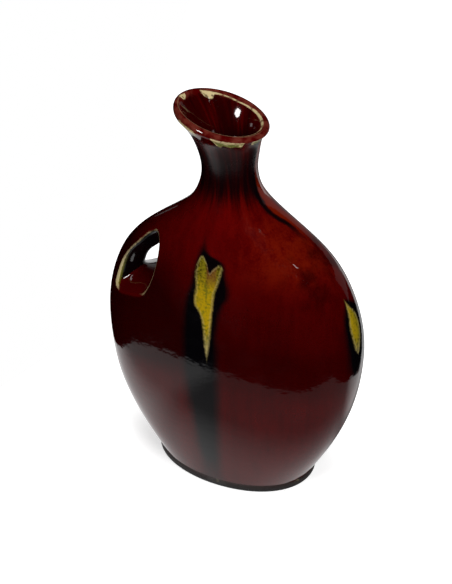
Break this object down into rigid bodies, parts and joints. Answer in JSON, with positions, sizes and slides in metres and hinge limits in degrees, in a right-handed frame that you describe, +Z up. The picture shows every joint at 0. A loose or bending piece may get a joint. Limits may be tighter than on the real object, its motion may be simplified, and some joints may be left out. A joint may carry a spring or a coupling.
{
  "type": "flask vase",
  "caption": "Flattened hollow flask vase on an oval foot, with a waisted neck, a slanted flaring mouth and a pierced handle opening.",
  "frame": {"origin": "on the table, below the middle of the belly", "axes": "+Z up, +X across the broad face and away from the handle opening, +Y from the broad front face to the back"},
  "size_m": [0.1759, 0.0886, 0.2659],
  "materials": {
    "red_glaze": "gloss",
    "rim_glaze": "gloss",
    "bare_clay": "matte"
  },
  "bodies": {
    "root": {"foot_ring": "bare_clay", "base_slab": "red_glaze", "front_shell": "red_glaze", "back_shell": "red_glaze", "handle_lining": "rim_glaze", "neck_collar": "red_glaze", "mouth_flare": "rim_glaze"}
  },
  "joints": []
}
